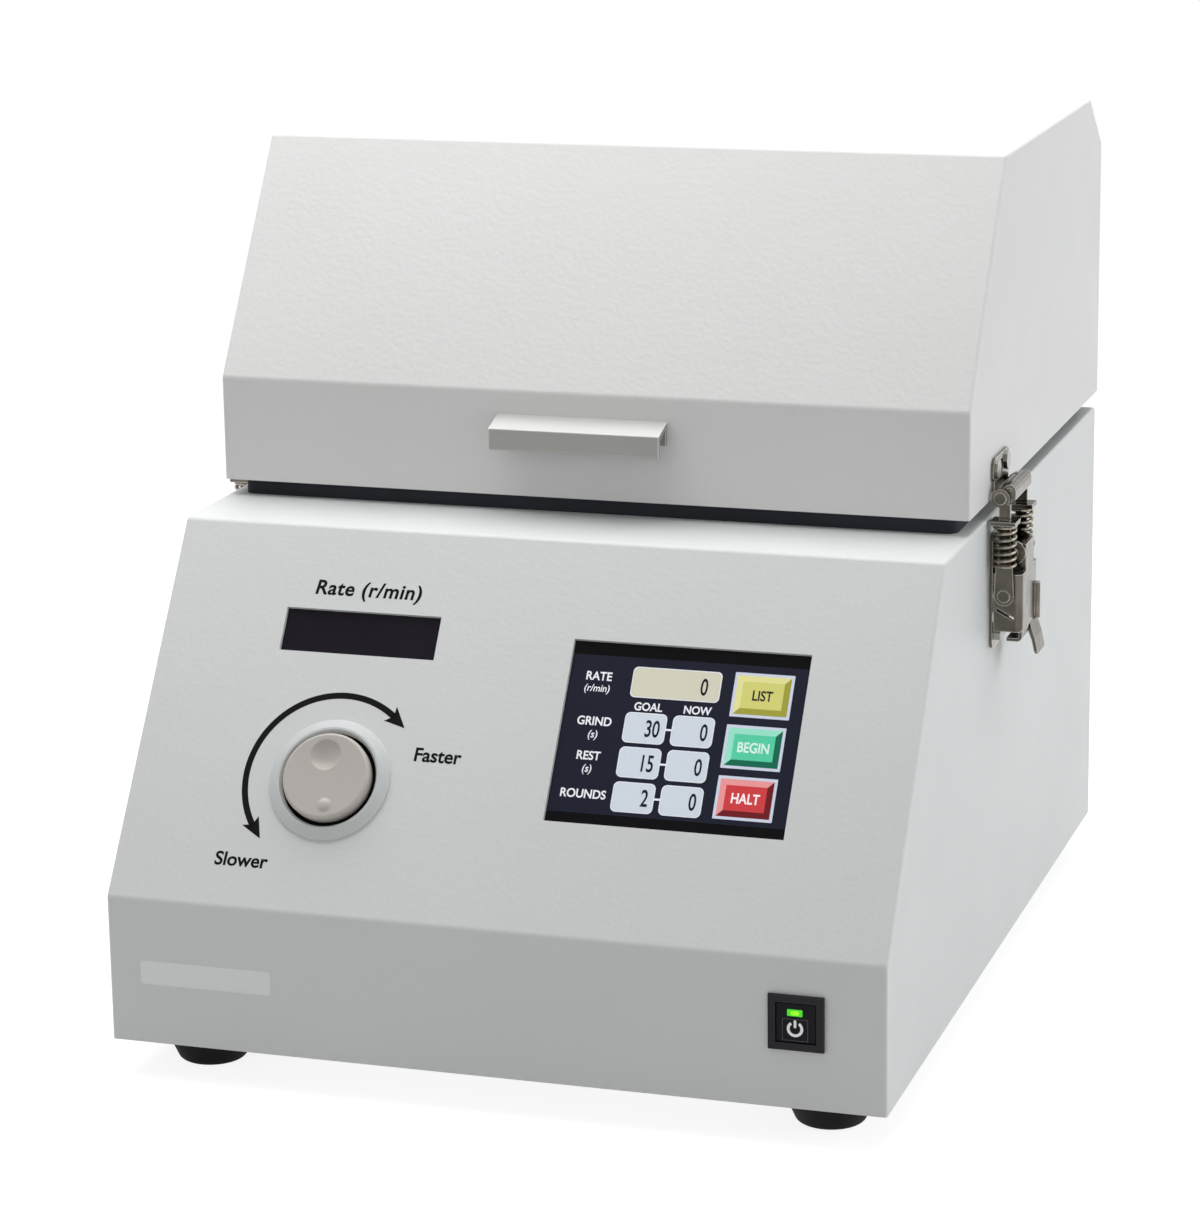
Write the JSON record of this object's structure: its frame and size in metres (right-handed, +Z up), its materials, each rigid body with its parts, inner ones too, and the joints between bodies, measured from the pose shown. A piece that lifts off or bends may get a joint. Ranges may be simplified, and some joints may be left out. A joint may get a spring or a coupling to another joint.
{
  "type": "analytical lab mill",
  "caption": "Bench-top lab mill: folded steel case with a sloping touch-screen panel, speed knob and power button, hinged hood with side draw latches over a nodding jar holder.",
  "frame": {"origin": "on the bench, under the middle of the overall box", "axes": "+X to the right seen from the front, +Y to the back, +Z up; the sloping control panel faces -Y and up"},
  "size_m": [0.2992, 0.3442, 0.2988],
  "materials": {
    "case_paint": "light grey powder coat with a fine texture",
    "lid_paint": "light grey powder coat with a fine texture",
    "dark_steel": "zinc plated sheet",
    "foot_rubber": "matt black rubber",
    "screw_steel": "nickel plated",
    "foam": "dark acoustic foam",
    "satin_aluminium": "satin anodised",
    "gasket_rubber": "dark blue-grey rubber",
    "stainless": "brushed stainless steel",
    "nickel": "bright nickel plate",
    "spring_steel": "nickel plated wire",
    "black_plastic": "matt black plastic",
    "screen_glass": "gloss dark display glass",
    "smoked_lens": "smoked gloss window",
    "pale_plastic": "pale grey moulded ring",
    "knob_plastic": "warm grey moulded plastic",
    "plated_steel": "zinc plated",
    "gloss_black": "gloss black plastic",
    "motor_paint": "black paint",
    "cast_hub": "machined cast iron",
    "bearing_steel": "ground bearing steel",
    "machined_aluminium": "machined and anodised",
    "roller_plastic": "white acetal",
    "cap_plastic": "dark blue moulded plastic",
    "green_board": "green circuit board",
    "magnet_nickel": "nickel plated magnet"
  },
  "bodies": {
    "base": {"base_housing": "case_paint", "bottom_plate": "dark_steel", "rear_panel": "case_paint", "feet": "foot_rubber", "foot_screws": "screw_steel", "lid_gasket": "gasket_rubber", "hinge_base_leaves": "stainless", "hinge_pins": "stainless", "latch_base_right": "nickel", "latch_base_left": "nickel", "touch_panel_body": "black_plastic", "touch_screen": "screen_glass", "meter_body": "black_plastic", "meter_lens": "smoked_lens", "knob_bezel": "pale_plastic", "encoder": "plated_steel", "power_switch": "black_plastic", "milling_well": "stainless", "shaft_seal": "gasket_rubber", "motor_plate": "dark_steel", "motor_body": "motor_paint", "motor_pillars": "plated_steel", "motor_mounts": "foot_rubber", "guide_fork": "stainless", "fan_frame": "black_plastic", "fan_guard": "plated_steel", "power_inlet": "black_plastic", "power_supply": "plated_steel", "control_board": "green_board", "lid_sensor": "black_plastic", "case_screws": "screw_steel"},
    "lid": {"lid_shell": "lid_paint", "lid_liner": "foam", "lid_handle": "satin_aluminium", "hinge_lid_leaves": "stainless", "latch_keeper_right": "nickel", "latch_keeper_left": "nickel", "lid_magnet": "magnet_nickel", "lid_screws": "screw_steel"},
    "latch_lever_right": {"latch_lever_right": "nickel"},
    "latch_hook_right": {"latch_hook_right": "nickel", "latch_springs_right": "spring_steel"},
    "latch_lever_left": {"latch_lever_left": "nickel"},
    "latch_hook_left": {"latch_hook_left": "nickel", "latch_springs_left": "spring_steel"},
    "rotor": {"motor_shaft": "stainless", "drive_hub": "cast_hub", "bearing_inner_rings": "bearing_steel"},
    "holder": {"bearing_outer_rings": "bearing_steel", "jar_holder": "machined_aluminium", "clamp_stud": "stainless", "jars": "stainless", "jar_caps": "cap_plastic", "guide_roller": "roller_plastic"},
    "clamp_plate": {"clamp_plate": "machined_aluminium"},
    "clamp_knob": {"clamp_knob": "gloss_black"},
    "fan_rotor": {"fan_rotor": "black_plastic"},
    "speed_knob": {"speed_knob": "knob_plastic"},
    "power_button": {"power_button": "gloss_black"},
    "fuse_drawer": {"fuse_drawer": "black_plastic"}
  },
  "joints": [
    {"name": "lid_hinge", "type": "hinge", "parent": "base", "child": "lid", "pos_m": [0, 0.16835, 0.1799], "axis": [-1, 0, 0], "range_deg": [0, 80]},
    {"name": "latch_lever_right_pivot", "type": "hinge", "parent": "base", "child": "latch_lever_right", "pos_m": [0.1425, -0.0109, 0.1635], "axis": [0, -1, 0], "range_deg": [0, 115]},
    {"name": "latch_hook_right_pivot", "type": "hinge", "parent": "latch_lever_right", "child": "latch_hook_right", "pos_m": [0.1405, -0.0109, 0.1495], "axis": [0, -1, 0], "range_deg": [-121, 0]},
    {"name": "latch_lever_left_pivot", "type": "hinge", "parent": "base", "child": "latch_lever_left", "pos_m": [-0.1425, -0.0109, 0.1635], "axis": [0, 1, 0], "range_deg": [0, 115]},
    {"name": "latch_hook_left_pivot", "type": "hinge", "parent": "latch_lever_left", "child": "latch_hook_left", "pos_m": [-0.1405, -0.0109, 0.1495], "axis": [0, 1, 0], "range_deg": [-121, 0]},
    {"name": "rotor_spin", "type": "hinge", "parent": "base", "child": "rotor", "pos_m": [0, 0.0581, 0.125], "axis": [0, 0, 1], "continuous": true},
    {"name": "holder_bearing", "type": "hinge", "parent": "rotor", "child": "holder", "pos_m": [0, 0.0581, 0.125], "axis": [0, -0.1045, 0.9945], "continuous": true},
    {"name": "clamp_plate_slide", "type": "slide", "parent": "holder", "child": "clamp_plate", "axis": [0, -0.1045, 0.9945], "range_m": [0, 0.0105]},
    {"name": "clamp_knob_turn", "type": "hinge", "parent": "clamp_plate", "child": "clamp_knob", "pos_m": [0, 0.0581, 0.125], "axis": [0, -0.1045, 0.9945], "range_deg": [0, 2165]},
    {"name": "fan_spin", "type": "hinge", "parent": "base", "child": "fan_rotor", "pos_m": [0.07, 0.155, 0.065], "axis": [0, 1, 0], "continuous": true},
    {"name": "speed_knob_turn", "type": "hinge", "parent": "base", "child": "speed_knob", "pos_m": [-0.0635, -0.14393, 0.10224], "axis": [0, -0.8172, 0.5764], "continuous": true},
    {"name": "power_button_press", "type": "slide", "parent": "base", "child": "power_button", "axis": [0, 1, 0], "range_m": [0, 0.0025], "stiffness_N_per_m": 400, "springref_m": -0.001},
    {"name": "fuse_drawer_pull", "type": "slide", "parent": "base", "child": "fuse_drawer", "axis": [0, 1, 0], "range_m": [0, 0.014]}
  ],
  "couplings": [
    {"joint": "latch_hook_right_pivot", "follows": "latch_lever_right_pivot", "ratio": -1.05},
    {"joint": "latch_hook_left_pivot", "follows": "latch_lever_left_pivot", "ratio": -1.05},
    {"joint": "holder_bearing", "follows": "rotor_spin", "ratio": -1},
    {"joint": "clamp_knob_turn", "follows": "clamp_plate_slide", "rad_per_m": 3590.4}
  ]
}
